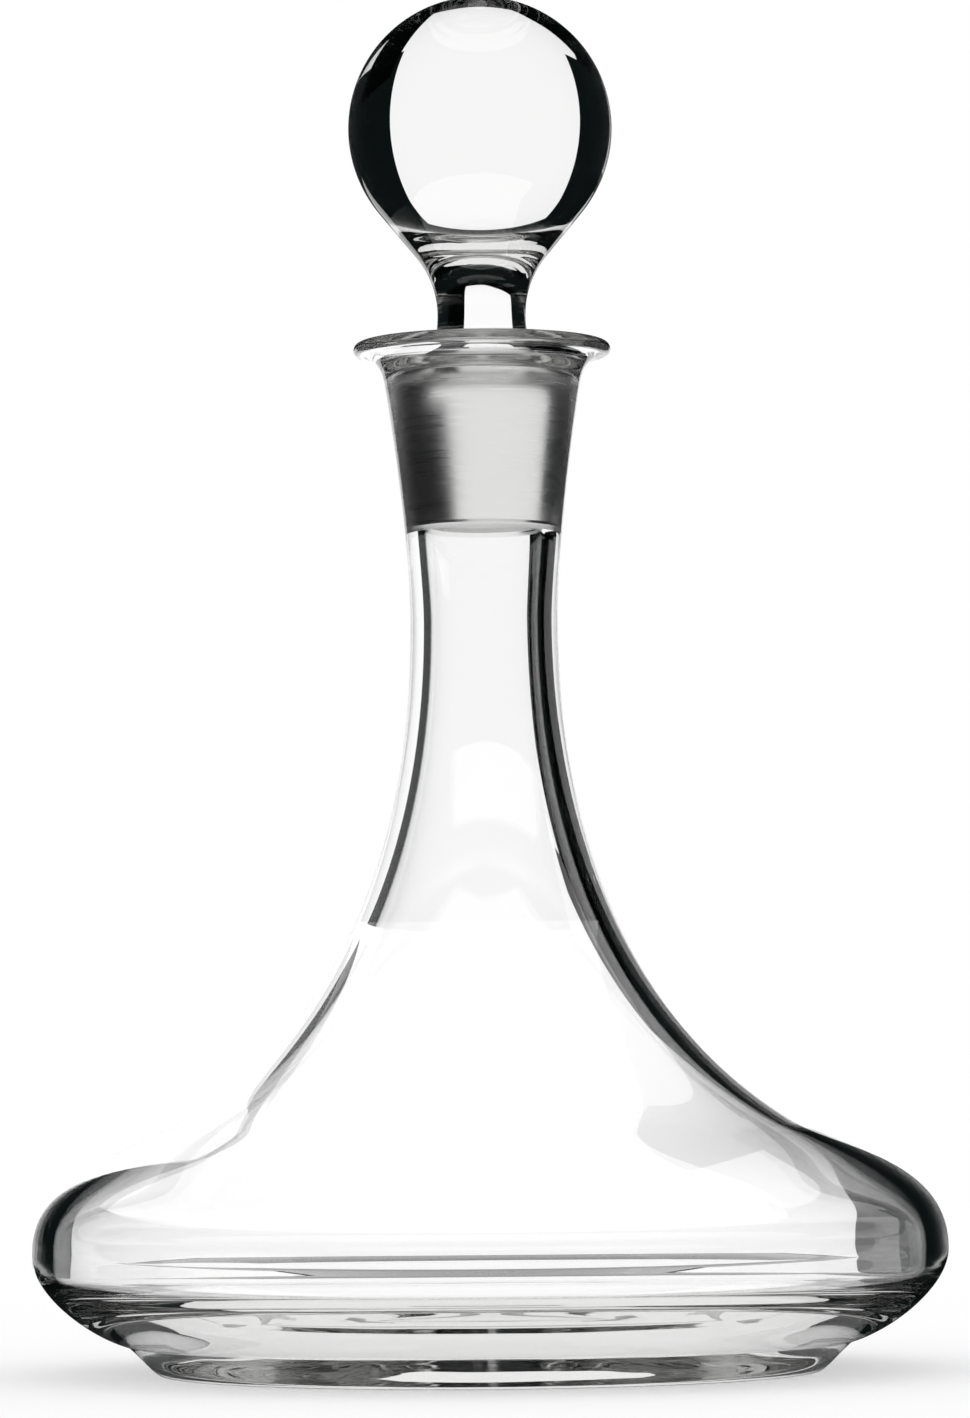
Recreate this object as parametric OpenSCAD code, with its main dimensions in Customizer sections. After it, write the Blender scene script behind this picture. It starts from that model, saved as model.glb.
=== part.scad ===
// Ship's decanter in clear glass: a broad, low bowl drawn up into a tall neck with a
// turned-out lip, closed by a solid ball stopper ground into the mouth.
// Millimetres, +Z up, standing on z = 0 with the neck on the Z axis.

/* [Foot] */
// Outer diameter of the flat ring the decanter stands on
ring_d = 143; // [128:1:150]
// Width of that ring
ring_w = 8; // [4:0.5:20]
// Depth of the shallow hollow inside the ring
kick_h = 2.4; // [1:0.1:5]
// Diameter of the foot at the crease where it meets the bowl
crease_d = 158; // [154:1:164]
// Height of that crease
crease_z = 6.4; // [5:0.1:7.5]
// How far the foot runs flat out from the ring
foot_run = 1.5; // [0.5:0.1:2.5]
// How far the foot leans in below the crease
foot_lean = 3.8; // [2:0.1:5]
// Height over which it leans in
foot_rise = 3.4; // [2:0.1:4.5]

/* [Bowl] */
// Widest diameter of the bowl
bowl_d = 200; // [190:1:225]
// Height of the widest line
bowl_z = 26.4; // [24:0.1:34]
// How far the underside runs out from the crease before it turns up
under_run = 8.5; // [6:0.5:14]
// How far it rises over that run
under_rise = 2.2; // [1:0.1:3.5]
// How far the side falls straight down from the widest line
low_run = 8.3; // [5:0.1:12]
// How far the side climbs straight up from the widest line
high_run = 15; // [8:0.5:18]
// Diameter at the turn, where the rounded bowl passes into the hollow shoulder
turn_d = 142.4; // [124:0.1:152]
// Height of the turn
turn_z = 53.2; // [48:0.1:64]
// Rise of the wall at the turn, in degrees from level
turn_rise = 26; // [16:1:36]
// How far the bowl side of the turn keeps that slope
turn_out = 17; // [8:0.5:20]
// How far the shoulder side of the turn keeps that slope
turn_in = 39.5; // [26:0.5:48]

/* [Neck] */
// Diameter at the narrowest part of the neck
neck_d = 32.4; // [30:0.1:40]
// Height of the narrowest part
neck_z = 164; // [150:0.5:172]
// How far the shoulder runs straight up into the neck
neck_run = 54; // [30:1:68]
// How far the neck stays straight above its narrowest part
flare_run = 15.5; // [6:0.5:22]
// Diameter just under the lip
throat_d = 43; // [41:0.1:47]
// Height of the point just under the lip
throat_z = 216.5; // [213:0.1:217.5]
// Widening of the neck just under the lip, mm outward per mm up
throat_slope = 0.16; // [0.08:0.01:0.3]
// How far below that point the neck has the same widening
throat_run = 15; // [8:0.5:20]
// Diameter of the lip
lip_d = 56.6; // [52:0.1:66]
// Height of the top of the lip
lip_z = 225.7; // [225:0.1:231]
// Thickness of the rounded lip
lip_t = 3; // [2:0.1:3.6]
// How far the neck climbs before it turns out into the lip
lip_rise = 3.6; // [2:0.1:4.5]
// How far the lip runs level at its edge
lip_run = 3.2; // [1.5:0.1:4]

/* [Glass] */
// Wall at the widest line
wall_bowl = 4.8; // [3:0.1:7]
// Wall at the turn of the shoulder
wall_turn = 4.3; // [3:0.1:6]
// Wall at the narrowest part of the neck
wall_neck = 4.4; // [3.4:0.1:7]
// Height of the inside floor at its edge
floor_z = 17; // [14:0.1:20]
// Diameter of the inside floor where the side begins to rise
floor_d = 136; // [110:1:146]
// How much higher the floor is in the middle
floor_rise = 1.6; // [0:0.1:5]
// How far the floor runs level into the side
floor_run = 18; // [8:0.5:20]

/* [Ground mouth] */
// Height of the top of the ground seat in the mouth
seat_z = 219.4; // [218:0.1:220.5]
// Length of the seat below the end of the plug
seat_below = 1.2; // [0.4:0.1:6]
// Air between the ground plug and its seat, at each side
joint_gap = 0.05; // [0.02:0.01:0.2]
// How far the bore keeps the slope of the seat below it
seat_run = 5; // [2:0.5:7]
// How far the bore is straight above the narrowest part
bore_run = 6; // [2:0.5:8]
// How far the floor of the mouth runs out from the seat
shelf_run = 5.5; // [3:0.1:6.5]
// How far it rises over that run
shelf_rise = 0.5; // [0.2:0.1:1.5]
// How far the mouth runs level in from the lip
mouth_run = 4.5; // [2:0.1:6]

/* [Stopper] */
// Diameter of the plug at its upper end
plug_d = 29.2; // [27:0.1:31]
// Diameter of the plug at its lower end
tip_d = 26; // [22:0.1:26.6]
// Length of the ground plug
plug_len = 34.8; // [24:0.1:42]
// How far the plug stands above the seat
plug_proud = 0.6; // [0.2:0.1:2]
// Bevel round both ends of the plug
plug_bevel = 0.5; // [0.2:0.1:1]
// Height of the collar that sweeps from the plug up to the stem
collar_h = 12; // [8:0.5:20]
// How far the collar runs in from the plug
collar_run = 2; // [0.5:0.1:4]
// How far it rises over that run
collar_rise = 1; // [0.3:0.1:2]
// Height at which the collar turns up into the stem
collar_low = 5; // [3:0.1:7]
// Diameter of the stem
stem_d = 19.4; // [14:0.1:21.5]
// Diameter of the ball
ball_d = 58.2; // [50:0.1:70]
// Slope of the cone between ball and stem, in degrees from upright
cone_angle = 39.5; // [30:0.5:46]
// Radius of the hollow sweep between cone and stem
sweep_r = 20.4; // [8:0.1:24]

/* [Hidden] */
$fn = 180;

// Points along each short curve, each stretch of the bowl, the shoulder and the ball
short_steps = 10;
steps = 14;
shoulder_steps = 26;
ball_steps = 44;

ring_r = ring_d / 2;
hollow_r = ring_r - ring_w;
crease_r = crease_d / 2;
bowl_r = bowl_d / 2;
turn_r = turn_d / 2;
neck_r = neck_d / 2;
throat_r = throat_d / 2;
lip_edge = lip_t / 2;
lip_r = lip_d / 2 - lip_edge;
lip_low = lip_z - lip_t;
bore_r = neck_r - wall_neck;
inside_r = bowl_r - wall_bowl;
floor_r = floor_d / 2;
stem_r = stem_d / 2;
ball_r = ball_d / 2;

// Heights and radii of the plug and the seat that takes it
plug_top = seat_z + plug_proud;
plug_end = plug_top - plug_len;
plug_rim = plug_d / 2 - plug_bevel;
tip_rim = tip_d / 2 - plug_bevel;
taper = (plug_d - tip_d) / 2 / plug_len;
seat_end = plug_end - seat_below;
stem_z = plug_top + collar_h;

// Radius of the plug at a height
function plug_r(z) = plug_d / 2 - (plug_top - z) * taper;
// Radius of the seat at a height
function seat_r(z) = plug_r(z) + joint_gap;

// A point on a curve with two end points and two handles
function bezier(c, u) =
    pow(1 - u, 3) * c[0] + 3 * pow(1 - u, 2) * u * c[1]
    + 3 * (1 - u) * u * u * c[2] + pow(u, 3) * c[3];
// The way the curve heads at that point
function heading(c, u) =
    pow(1 - u, 2) * (c[1] - c[0]) + 2 * (1 - u) * u * (c[2] - c[1]) + u * u * (c[3] - c[2]);
// The point at depth t inside the glass, square to the curve
function inside(c, u, t) =
    let (h = heading(c, u) / norm(heading(c, u)))
    bezier(c, u) + t * [-h[1], h[0]];
// The whole curve, without its last point
function run(c, n) = [for (i = [0 : n - 1]) bezier(c, i / n)];
// Points of an arc from angle a to angle b
function arc(centre, r, a, b, n) =
    [for (i = [0 : n]) let (t = a + (b - a) * i / n) centre + r * [cos(t), sin(t)]];
// A point of a domed disc, at share u of its radius
function dome(r, z, rise, u) = [u * r, z + rise * (1 - u * u)];

// Points where one stretch of the outline passes into the next
crease = [crease_r, crease_z];
widest = [bowl_r, bowl_z];
turn = [turn_r, turn_z];
narrow = [neck_r, neck_z];
throat = [throat_r, throat_z];
turn_way = [cos(turn_rise), -sin(turn_rise)];
throat_way = [throat_slope, 1];

// Outside of the glass, from the standing ring up to the lip
foot = [[ring_r, 0], [ring_r + foot_run, 0], crease - [foot_lean, foot_rise], crease];
under = [crease, crease + [under_run, under_rise], widest - [0, low_run], widest];
bulge = [widest, widest + [0, high_run], turn + turn_out * turn_way, turn];
shoulder = [turn, turn - turn_in * turn_way, narrow - [0, neck_run], narrow];
flare = [narrow, narrow + [0, flare_run], throat - throat_run * throat_way, throat];
lip_under = [throat, throat + lip_rise * throat_way, [lip_r - lip_run, lip_low], [lip_r, lip_low]];

// Inside of the glass, from the lip down to the floor
seat_rim = [seat_r(seat_z), seat_z];
mouth = [[lip_r, lip_z], [lip_r - mouth_run, lip_z], seat_rim + [shelf_run, shelf_rise], seat_rim];
bore = [
    [seat_r(seat_end), seat_end],
    [seat_r(seat_end - seat_run), seat_end - seat_run],
    [bore_r, neck_z + bore_run],
    [bore_r, neck_z]
];
basin = [
    [inside_r, bowl_z],
    [inside_r, bowl_z - low_run],
    [floor_r + floor_run, floor_z],
    [floor_r, floor_z]
];

// Wall along the shoulder, from the turn up to the narrowest part of the neck
function shoulder_wall(u) = wall_turn + (wall_neck - wall_turn) * pow(u, 3);
// Wall along the bowl, from the widest line up to the turn
function bulge_wall(u) = wall_bowl + (wall_turn - wall_bowl) * u;

body_profile = concat(
    [for (i = [0 : steps]) dome(hollow_r, 0, kick_h, i / steps)],
    run(foot, short_steps),
    run(under, steps),
    run(bulge, steps),
    run(shoulder, shoulder_steps),
    run(flare, steps),
    run(lip_under, short_steps),
    arc([lip_r, lip_z - lip_edge], lip_edge, -90, 90, short_steps),
    [for (i = [1 : steps]) bezier(mouth, i / steps)],
    run(bore, short_steps),
    [for (i = [shoulder_steps : -1 : 1]) let (u = i / shoulder_steps) inside(shoulder, u, shoulder_wall(u))],
    [for (i = [steps : -1 : 1]) let (u = i / steps) inside(bulge, u, bulge_wall(u))],
    run(basin, steps),
    [for (i = [steps : -1 : 0]) dome(floor_r, floor_z, floor_rise, i / steps)]
);

// Ball, cone and sweep meet the stem without a break
sweep_out = stem_r + sweep_r * (1 - cos(cone_angle));
cone_len = (ball_r * cos(cone_angle) - sweep_out) / sin(cone_angle);
ball_z = stem_z + (sweep_r + ball_r) * sin(cone_angle) + cone_len * cos(cone_angle);
collar = [
    [plug_rim, plug_top],
    [plug_rim - collar_run, plug_top + collar_rise],
    [stem_r, plug_top + collar_low],
    [stem_r, stem_z]
];

stopper_profile = concat(
    [[0, plug_end], [tip_rim, plug_end]],
    [for (z = [plug_end + plug_bevel, plug_top - plug_bevel]) [plug_r(z), z]],
    run(collar, steps),
    arc([stem_r + sweep_r, stem_z], sweep_r, 180, 180 - cone_angle, steps),
    arc([0, ball_z], ball_r, -cone_angle, 90, ball_steps)
);

module decanter_body() {
    color([0.86, 0.91, 0.9, 0.5])
        rotate_extrude()
            polygon(body_profile);
}

module ball_stopper() {
    color([0.84, 0.89, 0.9, 0.6])
        rotate_extrude()
            polygon(stopper_profile);
}

decanter_body();
ball_stopper();
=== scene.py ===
import math

import bpy
from mathutils import Matrix, Vector


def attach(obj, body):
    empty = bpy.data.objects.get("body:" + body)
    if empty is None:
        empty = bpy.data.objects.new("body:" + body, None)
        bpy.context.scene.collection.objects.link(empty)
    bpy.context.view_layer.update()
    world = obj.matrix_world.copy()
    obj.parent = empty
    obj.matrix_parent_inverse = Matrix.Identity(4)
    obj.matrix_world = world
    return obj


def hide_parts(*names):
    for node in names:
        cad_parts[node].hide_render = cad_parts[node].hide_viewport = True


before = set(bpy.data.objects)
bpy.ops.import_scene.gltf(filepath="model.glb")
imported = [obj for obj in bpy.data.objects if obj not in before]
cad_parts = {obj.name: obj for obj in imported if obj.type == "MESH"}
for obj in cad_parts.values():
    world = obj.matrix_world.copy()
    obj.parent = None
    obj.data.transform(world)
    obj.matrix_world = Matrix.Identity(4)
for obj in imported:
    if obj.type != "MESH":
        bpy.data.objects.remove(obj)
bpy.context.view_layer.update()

# Sizes of the glass in millimetres, under the names that the solid model gives them
MM = 0.001
RING_D, RING_W, KICK_H = 143, 8, 2.4
CREASE_D, CREASE_Z = 158, 6.4
FOOT_RUN, FOOT_LEAN, FOOT_RISE = 1.5, 3.8, 3.4
BOWL_D, BOWL_Z = 200, 26.4
UNDER_RUN, UNDER_RISE, LOW_RUN, HIGH_RUN = 8.5, 2.2, 8.3, 15
TURN_D, TURN_Z, TURN_RISE, TURN_OUT, TURN_IN = 142.4, 53.2, 26, 17, 39.5
NECK_D, NECK_Z, NECK_RUN, FLARE_RUN = 32.4, 164, 54, 15.5
THROAT_D, THROAT_Z, THROAT_SLOPE, THROAT_RUN = 43, 216.5, 0.16, 15
LIP_D, LIP_Z, LIP_T, LIP_RISE, LIP_RUN = 56.6, 225.7, 3, 3.6, 3.2
WALL_BOWL, WALL_TURN, WALL_NECK = 4.8, 4.3, 4.4
FLOOR_Z, FLOOR_D, FLOOR_RISE, FLOOR_RUN = 17, 136, 1.6, 18
SEAT_Z, SEAT_BELOW, JOINT_GAP = 219.4, 1.2, 0.05
SHELF_RUN, SHELF_RISE, MOUTH_RUN = 5.5, 0.5, 4.5
SEAT_RUN, BORE_RUN = 5, 6
PLUG_D, TIP_D, PLUG_LEN, PLUG_PROUD, PLUG_BEVEL = 29.2, 26, 34.8, 0.6, 0.5
COLLAR_H, COLLAR_RUN, COLLAR_RISE, COLLAR_LOW, STEM_D = 12, 2, 1, 5, 19.4
BALL_D, CONE_ANGLE, SWEEP_R = 58.2, 39.5, 20.4

PLUG_TOP = SEAT_Z + PLUG_PROUD
PLUG_END = PLUG_TOP - PLUG_LEN
TAPER = (PLUG_D - TIP_D) / 2 / PLUG_LEN
SEAT_END = PLUG_END - SEAT_BELOW
STEM_Z = PLUG_TOP + COLLAR_H

# Points along the curves, and segments round the pieces
SHORT, LONG, SHOULDER, BALL = 14, 28, 46, 72
BODY_SEGMENTS, STOPPER_SEGMENTS = 256, 240
CREASE_ANGLE = math.radians(25)
# Slight waves in the thick inside floor, and the distance under which points are welded, in metres
WAVE_HEIGHT, WAVE_LENGTH, WELD = 0.0002, 0.03, 1e-7
# What a row of the lathe says about its glass, and the share at which every corner of a face is ground
MARKS = "ground", "wavy"
ALL_GROUND = 0.99

# Finishes: how the glass bends light and takes it up, and the level marks of grinding, as roughness.
# The low index of the ground faces keeps the middle of the plug pale in its seat.
CLEAR_IOR, GROUND_IOR = 1.52, 1.12
TINT, TINT_DENSITY = (0.94, 0.94, 0.938, 1), 22
GRAIN_SCALE, GRAIN_LOW, GRAIN_HIGH = (80, 80, 3000), 0.3, 0.7
FINE_GROUND, COARSE_GROUND = 0.22, 0.48


def plug_r(z):
    """Radius of the tapered plug at a height."""
    return PLUG_D / 2 - (PLUG_TOP - z) * TAPER


def seat_r(z):
    """Radius of the seat at a height, clear of the plug all round."""
    return plug_r(z) + JOINT_GAP


def bezier(c, u):
    """A point on a curve with two end points and two handles."""
    w = (1 - u) ** 3, 3 * (1 - u) ** 2 * u, 3 * (1 - u) * u * u, u ** 3
    return tuple(sum(k * p[i] for k, p in zip(w, c)) for i in (0, 1))


def inside(c, u, depth):
    """The point at that depth in the glass, square to the curve."""
    w = (1 - u) ** 2, 2 * (1 - u) * u, u * u
    h = [sum(k * (c[j + 1][i] - c[j][i]) for j, k in enumerate(w)) for i in (0, 1)]
    size = math.hypot(*h)
    p = bezier(c, u)
    return p[0] - depth * h[1] / size, p[1] + depth * h[0] / size


def run(c, n):
    """The curve without its last point."""
    return [bezier(c, i / n) for i in range(n)]


def falling(n):
    """Shares of a curve from its end back to its first step."""
    return [i / n for i in range(n, 0, -1)]


def arc(centre, r, a, b, n):
    """Points of an arc from one direction to another, both ends included."""
    turns = [math.radians(a + (b - a) * i / n) for i in range(n + 1)]
    return [(centre[0] + r * math.cos(t), centre[1] + r * math.sin(t)) for t in turns]


def disc(r, z, rise, n):
    """Points of a domed disc from its rim in to the axis."""
    shares = [1 - i / n for i in range(n + 1)]
    return [(u * r, z + rise * (1 - u * u)) for u in shares]


def rows(points, ground=0, wavy=0):
    """Rows of the lathe: a point, and how far the glass there is ground matt and wavy."""
    return [(p, ground, wavy) for p in points]


def body_profile():
    """Half outline of the decanter, from the axis under the foot round to the axis inside."""
    ring, crease, bowl = RING_D / 2, CREASE_D / 2, BOWL_D / 2
    turn, neck, throat = TURN_D / 2, NECK_D / 2, THROAT_D / 2
    edge = LIP_T / 2
    lip, bore, floor = LIP_D / 2 - edge, neck - WALL_NECK, FLOOR_D / 2
    way = math.cos(math.radians(TURN_RISE)), math.sin(math.radians(TURN_RISE))
    foot = ((ring, 0), (ring + FOOT_RUN, 0),
            (crease - FOOT_LEAN, CREASE_Z - FOOT_RISE), (crease, CREASE_Z))
    under = ((crease, CREASE_Z), (crease + UNDER_RUN, CREASE_Z + UNDER_RISE),
             (bowl, BOWL_Z - LOW_RUN), (bowl, BOWL_Z))
    bulge = ((bowl, BOWL_Z), (bowl, BOWL_Z + HIGH_RUN),
             (turn + TURN_OUT * way[0], TURN_Z - TURN_OUT * way[1]), (turn, TURN_Z))
    shoulder = ((turn, TURN_Z), (turn - TURN_IN * way[0], TURN_Z + TURN_IN * way[1]),
                (neck, NECK_Z - NECK_RUN), (neck, NECK_Z))
    flare = ((neck, NECK_Z), (neck, NECK_Z + FLARE_RUN),
             (throat - THROAT_RUN * THROAT_SLOPE, THROAT_Z - THROAT_RUN), (throat, THROAT_Z))
    lip_under = ((throat, THROAT_Z), (throat + LIP_RISE * THROAT_SLOPE, THROAT_Z + LIP_RISE),
                 (lip - LIP_RUN, LIP_Z - LIP_T), (lip, LIP_Z - LIP_T))
    funnel = ((lip, LIP_Z), (lip - MOUTH_RUN, LIP_Z),
              (seat_r(SEAT_Z) + SHELF_RUN, SEAT_Z + SHELF_RISE), (seat_r(SEAT_Z), SEAT_Z))
    entry = ((seat_r(SEAT_END), SEAT_END), (seat_r(SEAT_END - SEAT_RUN), SEAT_END - SEAT_RUN),
             (bore, NECK_Z + BORE_RUN), (bore, NECK_Z))
    basin = ((bowl - WALL_BOWL, BOWL_Z), (bowl - WALL_BOWL, BOWL_Z - LOW_RUN),
             (floor + FLOOR_RUN, FLOOR_Z), (floor, FLOOR_Z))

    def shoulder_wall(u):
        return WALL_TURN + (WALL_NECK - WALL_TURN) * u ** 3

    def bulge_wall(u):
        return WALL_BOWL + (WALL_TURN - WALL_BOWL) * u

    clear = disc(ring - RING_W, 0, KICK_H, LONG)[::-1]
    clear += run(foot, SHORT) + run(under, LONG) + run(bulge, LONG) + run(shoulder, SHOULDER)
    clear += run(flare, LONG) + run(lip_under, SHORT) + arc((lip, LIP_Z - edge), edge, -90, 90, SHORT)
    clear += run(funnel, LONG)[1:]
    seat = [(seat_r(z), z) for z in (SEAT_Z, (SEAT_Z + SEAT_END) / 2, SEAT_END)]
    below = run(entry, SHORT)[1:]
    below += [inside(shoulder, u, shoulder_wall(u)) for u in falling(SHOULDER)]
    below += [inside(bulge, u, bulge_wall(u)) for u in falling(LONG)]
    below += run(basin, LONG)
    floor_rows = disc(floor, FLOOR_Z, FLOOR_RISE, LONG)
    return rows(clear) + rows(seat, ground=1) + rows(below) + rows(floor_rows, wavy=1)


def stopper_profile():
    """Half outline of the stopper, from the axis under the plug round to the top of the ball."""
    stem, ball = STEM_D / 2, BALL_D / 2
    lean = math.radians(CONE_ANGLE)
    sweep_out = stem + SWEEP_R * (1 - math.cos(lean))
    cone_len = (ball * math.cos(lean) - sweep_out) / math.sin(lean)
    ball_z = STEM_Z + (SWEEP_R + ball) * math.sin(lean) + cone_len * math.cos(lean)
    rim = PLUG_D / 2 - PLUG_BEVEL
    collar = ((rim, PLUG_TOP), (rim - COLLAR_RUN, PLUG_TOP + COLLAR_RISE),
              (stem, PLUG_TOP + COLLAR_LOW), (stem, STEM_Z))
    end = disc(TIP_D / 2 - PLUG_BEVEL, PLUG_END, 0, SHORT)[::-1]
    low, high = PLUG_END + PLUG_BEVEL, PLUG_TOP - PLUG_BEVEL
    plug = [(plug_r(z), z) for z in (low, (low + high) / 2, high)]
    top = run(collar, LONG)
    top += arc((stem + SWEEP_R, STEM_Z), SWEEP_R, 180, 180 - CONE_ANGLE, SHORT)
    top += arc((0, ball_z), ball, -CONE_ANGLE, 90, BALL)
    return rows(end) + rows(plug, ground=1) + rows(top)


def link(tree, a, b):
    tree.links.new(a, b)


def new_material(name):
    m = bpy.data.materials.new(name)
    m.use_nodes = True
    return m, m.node_tree


def glass(name, roughness, ior):
    """Glass that takes up a little light on its way through."""
    m, t = new_material(name)
    b = t.nodes["Principled BSDF"]
    b.inputs["Base Color"].default_value = (1, 1, 1, 1)
    b.inputs["Roughness"].default_value = roughness
    b.inputs["IOR"].default_value = ior
    b.inputs["Transmission Weight"].default_value = 1
    v = t.nodes.new("ShaderNodeVolumeAbsorption")
    v.inputs["Color"].default_value = TINT
    v.inputs["Density"].default_value = TINT_DENSITY
    link(t, v.outputs["Volume"], t.nodes["Material Output"].inputs["Volume"])
    return m


def grinding_marks(m):
    """Fine level marks, as streaks in the roughness."""
    t = m.node_tree
    place = t.nodes.new("ShaderNodeTexCoord")
    stretch = t.nodes.new("ShaderNodeMapping")
    stretch.inputs["Scale"].default_value = GRAIN_SCALE
    noise = t.nodes.new("ShaderNodeTexNoise")
    noise.inputs["Scale"].default_value = 1
    spread = t.nodes.new("ShaderNodeMapRange")
    spread.inputs["From Min"].default_value = GRAIN_LOW
    spread.inputs["From Max"].default_value = GRAIN_HIGH
    spread.inputs["To Min"].default_value = FINE_GROUND
    spread.inputs["To Max"].default_value = COARSE_GROUND
    link(t, place.outputs["Object"], stretch.inputs["Vector"])
    link(t, stretch.outputs["Vector"], noise.inputs["Vector"])
    link(t, noise.outputs[0], spread.inputs["Value"])
    link(t, spread.outputs["Result"], t.nodes["Principled BSDF"].inputs["Roughness"])


def lathe_tree():
    """Geometry Nodes: turns the outline on the object into a closed round solid about Z."""
    g = bpy.data.node_groups.new("lathe", "GeometryNodeTree")
    panel = g.interface
    panel.new_socket("Outline", in_out="INPUT", socket_type="NodeSocketGeometry")
    segments = panel.new_socket("Segments", in_out="INPUT", socket_type="NodeSocketInt")
    crease = panel.new_socket("Crease angle", in_out="INPUT", socket_type="NodeSocketFloat")
    wave = panel.new_socket("Wave height", in_out="INPUT", socket_type="NodeSocketFloat")
    length = panel.new_socket("Wave length", in_out="INPUT", socket_type="NodeSocketFloat")
    clear = panel.new_socket("Clear glass", in_out="INPUT", socket_type="NodeSocketMaterial")
    ground = panel.new_socket("Ground glass", in_out="INPUT", socket_type="NodeSocketMaterial")
    panel.new_socket("Solid", in_out="OUTPUT", socket_type="NodeSocketGeometry")
    node = g.nodes.new
    start, end = node("NodeGroupInput"), node("NodeGroupOutput")

    def math_node(operation, a, b=None):
        m = node("ShaderNodeMath")
        m.operation = operation
        for socket, value in zip(m.inputs, (a, b)):
            if isinstance(value, (int, float)):
                socket.default_value = value
            elif value is not None:
                link(g, value, socket)
        return m.outputs[0]

    def at_row(data_type, value):
        s = node("GeometryNodeSampleIndex")
        s.data_type = data_type
        link(g, start.outputs["Outline"], s.inputs["Geometry"])
        link(g, value, s.inputs["Value"])
        link(g, row, s.inputs["Index"])
        return s.outputs["Value"]

    size = node("GeometryNodeAttributeDomainSize")
    link(g, start.outputs["Outline"], size.inputs[0])
    count = size.outputs["Point Count"]
    grid = node("GeometryNodeMeshGrid")
    link(g, math_node("ADD", start.outputs["Segments"], 1), grid.inputs["Vertices X"])
    link(g, count, grid.inputs["Vertices Y"])
    index = node("GeometryNodeInputIndex").outputs[0]
    # Half a point more keeps the division clear of rounding
    column = math_node("FLOOR", math_node("DIVIDE", math_node("ADD", index, 0.5), count))
    row = math_node("SUBTRACT", index, math_node("MULTIPLY", column, count))

    def mark(name):
        m = node("GeometryNodeInputNamedAttribute")
        m.data_type = "FLOAT"
        m.inputs["Name"].default_value = name
        return at_row("FLOAT", m.outputs["Attribute"])

    split = node("ShaderNodeSeparateXYZ")
    link(g, at_row("FLOAT_VECTOR", node("GeometryNodeInputPosition").outputs[0]), split.inputs[0])
    angle = math_node("DIVIDE", math_node("MULTIPLY", column, 2 * math.pi), start.outputs["Segments"])
    join = node("ShaderNodeCombineXYZ")
    link(g, math_node("MULTIPLY", split.outputs["X"], math_node("COSINE", angle)), join.inputs["X"])
    link(g, math_node("MULTIPLY", split.outputs["X"], math_node("SINE", angle)), join.inputs["Y"])
    link(g, split.outputs["Z"], join.inputs["Z"])
    keep = node("GeometryNodeCaptureAttribute")
    link(g, grid.outputs["Mesh"], keep.inputs["Geometry"])
    for name in MARKS:
        keep.capture_items.new("FLOAT", name)
        link(g, mark(name), keep.inputs[name])
    move = node("GeometryNodeSetPosition")
    link(g, keep.outputs["Geometry"], move.inputs["Geometry"])
    link(g, join.outputs[0], move.inputs["Position"])
    noise = node("ShaderNodeTexNoise")
    noise.inputs["Detail"].default_value = 1
    link(g, math_node("DIVIDE", 1, start.outputs["Wave length"]), noise.inputs["Scale"])
    swing = math_node("SUBTRACT", noise.outputs[0], 0.5)
    height = math_node("MULTIPLY", swing, start.outputs["Wave height"])
    lift = node("ShaderNodeCombineXYZ")
    link(g, math_node("MULTIPLY", height, keep.outputs["wavy"]), lift.inputs["Z"])
    ripple = node("GeometryNodeSetPosition")
    link(g, move.outputs[0], ripple.inputs["Geometry"])
    link(g, lift.outputs[0], ripple.inputs["Offset"])
    weld = node("GeometryNodeMergeByDistance")
    weld.inputs["Distance"].default_value = WELD
    link(g, ripple.outputs[0], weld.inputs["Geometry"])
    smooth = node("GeometryNodeSetShadeSmooth")
    link(g, weld.outputs[0], smooth.inputs["Geometry"])
    sharp = node("GeometryNodeSetShadeSmooth")
    sharp.domain = "EDGE"
    sharp.inputs["Shade Smooth"].default_value = False
    bend = node("GeometryNodeInputMeshEdgeAngle")
    link(g, smooth.outputs[0], sharp.inputs["Geometry"])
    link(g, math_node("GREATER_THAN", bend.outputs["Unsigned Angle"], start.outputs["Crease angle"]),
         sharp.inputs["Selection"])
    real = node("GeometryNodeRealizeInstances")
    link(g, sharp.outputs[0], real.inputs["Geometry"])
    first = node("GeometryNodeSetMaterial")
    link(g, real.outputs[0], first.inputs["Geometry"])
    link(g, start.outputs["Clear glass"], first.inputs["Material"])
    second = node("GeometryNodeSetMaterial")
    link(g, first.outputs[0], second.inputs["Geometry"])
    link(g, math_node("GREATER_THAN", keep.outputs["ground"], ALL_GROUND), second.inputs["Selection"])
    link(g, start.outputs["Ground glass"], second.inputs["Material"])
    link(g, second.outputs[0], end.inputs["Solid"])
    return g, [s.identifier for s in (segments, crease, wave, length, clear, ground)]


def turned(name, outline, segments, tree, sockets):
    """A round piece made from an outline by the lathe tree, as a plain mesh."""
    line = bpy.data.meshes.new(name + "_outline")
    points = [(p[0] * MM, 0, p[1] * MM) for p, _, _ in outline]
    line.from_pydata(points, [(i, i + 1) for i in range(len(points) - 1)], [])
    for i, mark in enumerate(MARKS, 1):
        values = [float(row[i]) for row in outline]
        line.attributes.new(mark, "FLOAT", "POINT").data.foreach_set("value", values)
    maker = bpy.data.objects.new(name + "_maker", line)
    bpy.context.scene.collection.objects.link(maker)
    mod = maker.modifiers.new("lathe", "NODES")
    mod.node_group = tree
    settings = segments, CREASE_ANGLE, WAVE_HEIGHT, WAVE_LENGTH, clear_glass, ground_glass
    for socket, value in zip(sockets, settings):
        mod[socket] = value
    evaluated = maker.evaluated_get(bpy.context.evaluated_depsgraph_get())
    mesh = bpy.data.meshes.new_from_object(evaluated)
    maker.modifiers.remove(mod)
    bpy.data.objects.remove(maker)
    mesh.name = name
    piece = bpy.data.objects.new(name, mesh)
    bpy.context.scene.collection.objects.link(piece)
    return piece


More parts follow.
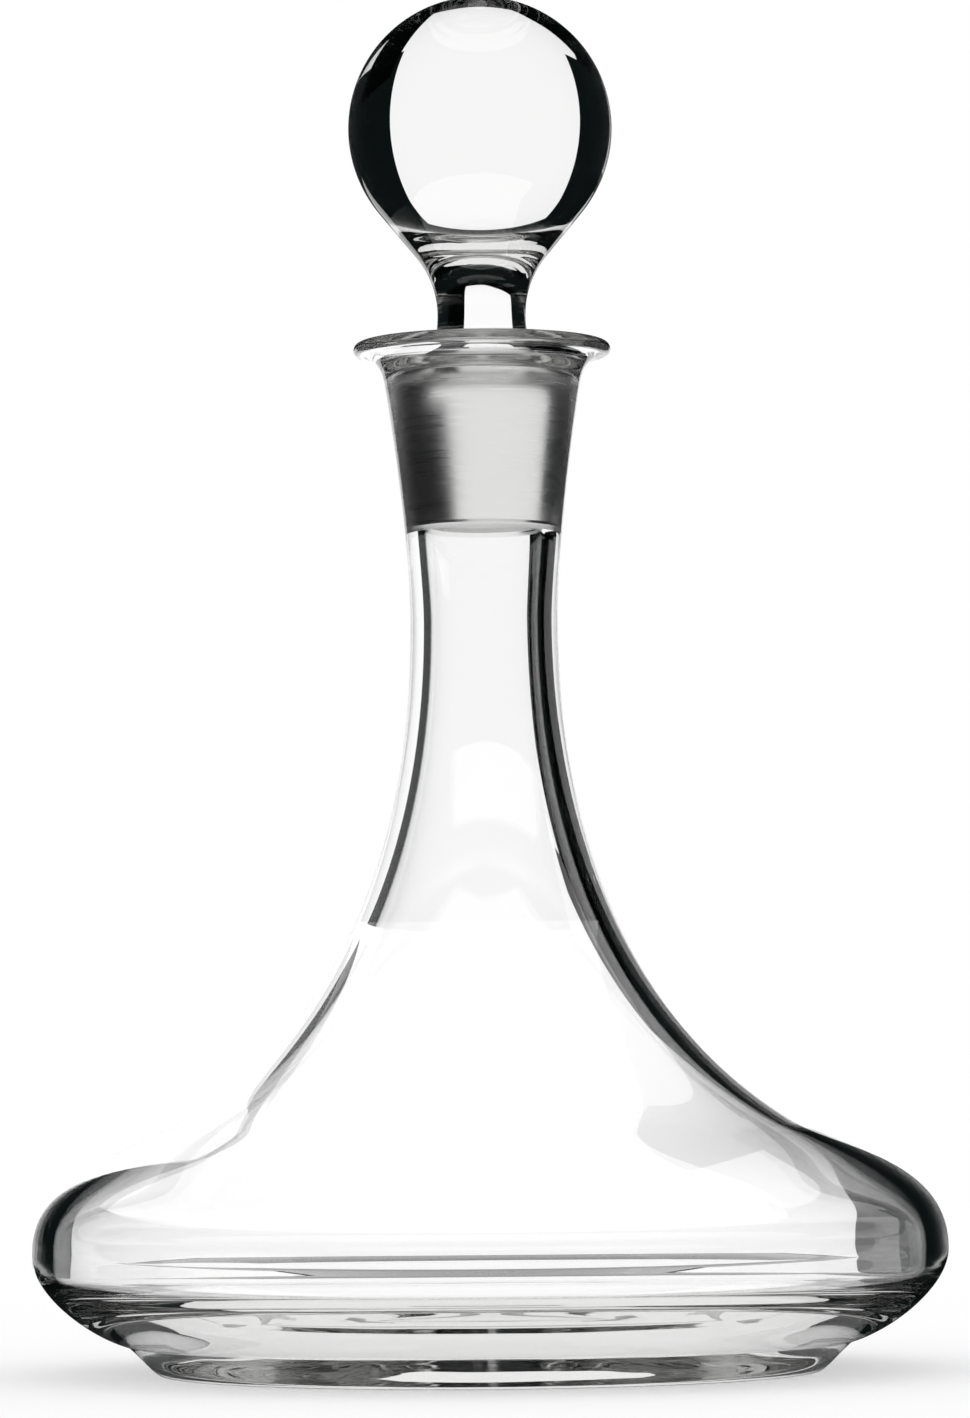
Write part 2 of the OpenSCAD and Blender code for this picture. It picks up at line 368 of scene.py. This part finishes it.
clear_glass = glass("clear_glass", 0, CLEAR_IOR)
ground_glass = glass("ground_glass", (FINE_GROUND + COARSE_GROUND) / 2, GROUND_IOR)
grinding_marks(ground_glass)
tree, sockets = lathe_tree()
body = turned("glass_body", body_profile(), BODY_SEGMENTS, tree, sockets)
stopper = turned("glass_stopper", stopper_profile(), STOPPER_SEGMENTS, tree, sockets)
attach(body, "decanter")
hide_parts("decanter_body")
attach(stopper, "stopper")
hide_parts("ball_stopper")


# Stage: a pale floor, and papers and a dark table that only the glass shows.
# Sizes in metres, directions in degrees.
RAYS = "camera", "diffuse", "glossy", "transmission", "shadow"
STAGE_HALF, STAGE_TONE, STAGE_GLOW = 8, 0.55, 0.45
WHITE, DULL, GREY, BLACK = 1.1, 1.08, 0.22, 0
# Upright papers: how far back they stand, and by rows their height, left edge and right edge
BACK_Y, BALL_Y, SHOULDER_Y, NECK_Y = 0.27, 0.14, 0.13, 0.05
BACK_LEFT, BACK_RIGHT, GREY_RIGHT = -0.165, 0.118, 0.152
NECK_CARD_TOP, PLUG_CARD_TOP, STEM_CARD_TOP = 0.1915, 0.2262, 0.275
BACK_CUT = [(z, BACK_LEFT, BACK_RIGHT) for z in (0, 0.25)]
GREY_CUT = [(z, BACK_RIGHT, GREY_RIGHT) for z in (0, 0.06)]
BALL_CUT = [(z, -0.082, 0.0644) for z in (0.2, 0.4)]
LEFT_CUT = [(z, -0.06, -0.04) for z in (0.095, 0.2)]
PLUG_CUT = [(z, 0.0064, 0.04) for z in (NECK_CARD_TOP, PLUG_CARD_TOP)]
STEM_CUT = [(z, 0.0105, 0.03) for z in (PLUG_CARD_TOP, STEM_CARD_TOP)]
SHOULDER_CUT = (
    (0.09, 0.065, 0.12),
    (0.115, 0.047, 0.11),
    (0.125, 0.047, 0.11),
)
NECK_CUT = (
    (0.115, 0.031, 0.09),
    (0.14, 0.026, 0.09),
    (NECK_CARD_TOP, 0.024, 0.09),
)
# A level dark leaf close behind the ball: by rows its place across, near edge and far edge
LEAF_Z, LEAF_NEAR = 0.264, 0.0295
LEAF_CUT = (
    (-0.035, LEAF_NEAR, 0.058),
    (-0.008, LEAF_NEAR, 0.046),
    (-0.001, LEAF_NEAR, 0.04),
    (0.035, LEAF_NEAR, 0.04),
)
# Level parts of rings about the neck: one over the front of the shoulder, one higher up behind it
ARC_STEP = 5
FRONT_Z, FRONT_IN, FRONT_OUT, FRONT_FROM, FRONT_TO = 0.1, 0.031, 0.17, 165, 335
REAR_Z, REAR_IN, REAR_OUT, REAR_FROM, REAR_TO = 0.2, 0.1, 0.22, 0, 130
# Upright papers round about: one to the left, and one in front that the view from behind needs
TO_LEFT, TO_BACK, TO_FRONT = 180, 135, -45
SIDE_OUT, SIDE_HALF, SIDE_LOW, SIDE_TOP = 0.36, 0.1, 0, 0.42
FAR_OUT, FAR_HALF, FAR_LOW, FAR_TOP = 0.36, 0.14, 0.02, 0.36
# The table and the papers on it lie just under the floor, clear of the foot's flat ring
PAPER_Z, TABLE_Z = -0.0002, -0.0006
SHEET_HALF, SHEET_FAR = 0.085, 0.16
LANE_START, LANE_SPREAD, LANE_WAIST, BACK_LANE, FRONT_LANE = 0.1, 14, 0.25, 0.6, 1.15
TABLE_HALF, TABLE_NEAR, TABLE_FAR = 0.5, -0.3, 0.5
TABLE_TONE, TABLE_ROUGHNESS = 0.01, 0.03
# The world as the glass shows it
DARK = 0.004, 0.006, 0.006, 1


def shows_to(o, *rays):
    """Lets only these kinds of ray see a piece of the stage."""
    for ray in RAYS:
        setattr(o, "visible_" + ray, ray in rays)


def ladder(name, rungs, material):
    """A flat piece of the stage, given as rungs from one edge to the other."""
    mesh = bpy.data.meshes.new(name)
    faces = [(2 * i, 2 * i + 1, 2 * i + 3, 2 * i + 2) for i in range(len(rungs) - 1)]
    mesh.from_pydata([corner for rung in rungs for corner in rung], [], faces)
    mesh.materials.append(material)
    o = bpy.data.objects.new(name, mesh)
    bpy.context.scene.collection.objects.link(o)
    return o


def level(name, left, right, near, far, z, material):
    """A level rectangle."""
    return ladder(name, [((left, y, z), (right, y, z)) for y in (near, far)], material)


def upright(name, y, cut, material):
    """A paper that stands across the camera's line, cut to rows of height, left edge and right edge."""
    return ladder(name, [((a, y, z), (b, y, z)) for z, a, b in cut], material)


def ring_sheet(name, z, inner, outer, start, end):
    """A level white paper, part of a ring about the neck from one direction to another."""
    turns = [math.radians(d) for d in range(start, end + 1, ARC_STEP)]
    rungs = [[(r * math.cos(d), r * math.sin(d), z) for r in (inner, outer)] for d in turns]
    return ladder(name, rungs, white_paper)


def compass(direction):
    """Level vectors along a direction and square to it."""
    a = math.radians(direction)
    return Vector((math.cos(a), math.sin(a), 0)), Vector((-math.sin(a), math.cos(a), 0))


def facing(name, direction, distance, half, low, high):
    """An upright paper square to a direction."""
    way, side = compass(direction)
    up = Vector((0, 0, 1))
    rungs = [[way * distance + side * w + up * z for w in (-half, half)] for z in (low, high)]
    return ladder(name, rungs, straight_paper)


def lane(name, direction, end):
    """A paper on the table that widens as it runs away from the foot."""
    way, side = compass(direction)
    down = Vector((0, 0, PAPER_Z))
    across = side * math.tan(math.radians(LANE_SPREAD))
    ends = (LANE_START, LANE_WAIST), (end, end)
    rungs = [[way * d + across * w + down for w in (-half, half)] for d, half in ends]
    return ladder(name, rungs, straight_paper)


def floor_material():
    """Pale floor that takes a shadow, with a glow of its own that lifts it to white."""
    m, t = new_material("floor")
    t.nodes.remove(t.nodes["Principled BSDF"])
    lit = t.nodes.new("ShaderNodeBsdfDiffuse")
    lit.inputs["Color"].default_value = (STAGE_TONE, STAGE_TONE, STAGE_TONE, 1)
    glow = t.nodes.new("ShaderNodeEmission")
    glow.inputs["Strength"].default_value = STAGE_GLOW
    shown = t.nodes.new("ShaderNodeAddShader")
    link(t, lit.outputs[0], shown.inputs[0])
    link(t, glow.outputs[0], shown.inputs[1])
    link(t, shown.outputs[0], t.nodes["Material Output"].inputs["Surface"])
    return m


def table_material():
    """Dark polished table."""
    m, t = new_material("dark_table")
    b = t.nodes["Principled BSDF"]
    b.inputs["Base Color"].default_value = (TABLE_TONE, TABLE_TONE, TABLE_TONE, 1)
    b.inputs["Roughness"].default_value = TABLE_ROUGHNESS
    return m


def paper_material(name, strength):
    """Paper that is lit evenly."""
    m, t = new_material(name)
    t.nodes.remove(t.nodes["Principled BSDF"])
    e = t.nodes.new("ShaderNodeEmission")
    e.inputs["Strength"].default_value = strength
    link(t, e.outputs[0], t.nodes["Material Output"].inputs["Surface"])
    return m


def straight_only(m):
    """Lets a paper show only to rays that were not mirrored on their way."""
    t = m.node_tree
    strength = t.nodes["Emission"].inputs["Strength"]
    path = t.nodes.new("ShaderNodeLightPath")
    straight = t.nodes.new("ShaderNodeMath")
    straight.operation = "LESS_THAN"
    straight.inputs[1].default_value = 1
    tone = t.nodes.new("ShaderNodeMath")
    tone.operation = "MULTIPLY"
    tone.inputs[1].default_value = strength.default_value
    link(t, path.outputs["Glossy Depth"], straight.inputs[0])
    link(t, straight.outputs[0], tone.inputs[0])
    link(t, tone.outputs[0], strength)


def studio_world():
    """White, but dark to rays that come by way of the glass."""
    world = bpy.data.worlds.new("studio")
    world.use_nodes = True
    t = world.node_tree
    path = t.nodes.new("ShaderNodeLightPath")
    by_glass = t.nodes.new("ShaderNodeMath")
    by_glass.operation = "MAXIMUM"
    link(t, path.outputs["Is Glossy Ray"], by_glass.inputs[0])
    link(t, path.outputs["Is Transmission Ray"], by_glass.inputs[1])
    tone = t.nodes.new("ShaderNodeMix")
    tone.data_type = "RGBA"
    tone.inputs["A"].default_value = (1, 1, 1, 1)
    tone.inputs["B"].default_value = DARK
    link(t, by_glass.outputs[0], tone.inputs["Factor"])
    link(t, tone.outputs["Result"], t.nodes["Background"].inputs["Color"])
    return world


floor = level("floor", -STAGE_HALF, STAGE_HALF, -STAGE_HALF, STAGE_HALF, 0, floor_material())
shows_to(floor, "camera", "diffuse", "shadow")

white_paper = paper_material("white_paper", WHITE)
straight_paper = paper_material("straight_paper", WHITE)
straight_only(straight_paper)
dull_paper = paper_material("dull_paper", DULL)
grey_paper = paper_material("grey_paper", GREY)
black_paper = paper_material("black_paper", BLACK)
# Two papers are mirrored in the glass too; the others and the table are only seen through it
mirrored = [
    upright("back_sheet", BACK_Y, BACK_CUT, white_paper),
    ring_sheet("front_sheet", FRONT_Z, FRONT_IN, FRONT_OUT, FRONT_FROM, FRONT_TO),
]
for piece in mirrored:
    shows_to(piece, "glossy", "transmission")
seen_through = [
    ring_sheet("rear_sheet", REAR_Z, REAR_IN, REAR_OUT, REAR_FROM, REAR_TO),
    upright("grey_card", BACK_Y, GREY_CUT, grey_paper),
    upright("ball_sheet", BALL_Y, BALL_CUT, dull_paper),
    upright("shoulder_card", SHOULDER_Y, SHOULDER_CUT, black_paper),
    upright("neck_card", NECK_Y, NECK_CUT, black_paper),
    upright("neck_sheet", NECK_Y, LEFT_CUT, white_paper),
    upright("plug_card", NECK_Y, PLUG_CUT, black_paper),
    upright("stem_card", NECK_Y, STEM_CUT, black_paper),
    ladder("ball_leaf", [((x, a, LEAF_Z), (x, b, LEAF_Z)) for x, a, b in LEAF_CUT], black_paper),
    facing("side_sheet", TO_LEFT, SIDE_OUT, SIDE_HALF, SIDE_LOW, SIDE_TOP),
    level("table_sheet", -SHEET_HALF, SHEET_HALF, -SHEET_HALF, SHEET_FAR, PAPER_Z, white_paper),
    lane("lane_back", TO_BACK, BACK_LANE),
    lane("lane_front", TO_FRONT, FRONT_LANE),
    facing("far_sheet", TO_FRONT, FAR_OUT, FAR_HALF, FAR_LOW, FAR_TOP),
    level("table", -TABLE_HALF, TABLE_HALF, TABLE_NEAR, TABLE_FAR, TABLE_Z, table_material()),
]
for piece in seen_through:
    shows_to(piece, "transmission")
bpy.context.scene.world = studio_world()

# Camera: a long lens at the height of the shoulder, aimed a little up and turned about its axis
CAM_DISTANCE, CAM_HEIGHT, AIM_Z, VIEW_HEIGHT, ROLL = 1.3, 0.068, 0.1449, 0.3115, 0.5
cam = bpy.data.cameras.new("camera")
camera = bpy.data.objects.new("camera", cam)
bpy.context.scene.collection.objects.link(camera)
look = Vector((0, CAM_DISTANCE, AIM_Z - CAM_HEIGHT))
aim = look.to_track_quat("-Z", "Y").to_matrix().to_4x4()
roll = Matrix.Rotation(math.radians(-ROLL), 4, "Z")
camera.matrix_world = Matrix.Translation((0, -CAM_DISTANCE, CAM_HEIGHT)) @ aim @ roll
cam.lens = cam.sensor_width / VIEW_HEIGHT * look.length
cam.dof.use_dof = False
bpy.context.scene.camera = camera

# Light is followed through many bounces, because it is mirrored again and again inside the glass
BOUNCES, DIFFUSE_BOUNCES = 300, 4
scene = bpy.context.scene
scene.view_settings.view_transform = "Standard"
scene.cycles.max_bounces = BOUNCES
scene.cycles.transmission_bounces = BOUNCES
scene.cycles.glossy_bounces = BOUNCES
scene.cycles.diffuse_bounces = DIFFUSE_BOUNCES
scene.cycles.caustics_reflective = True
scene.cycles.caustics_refractive = True
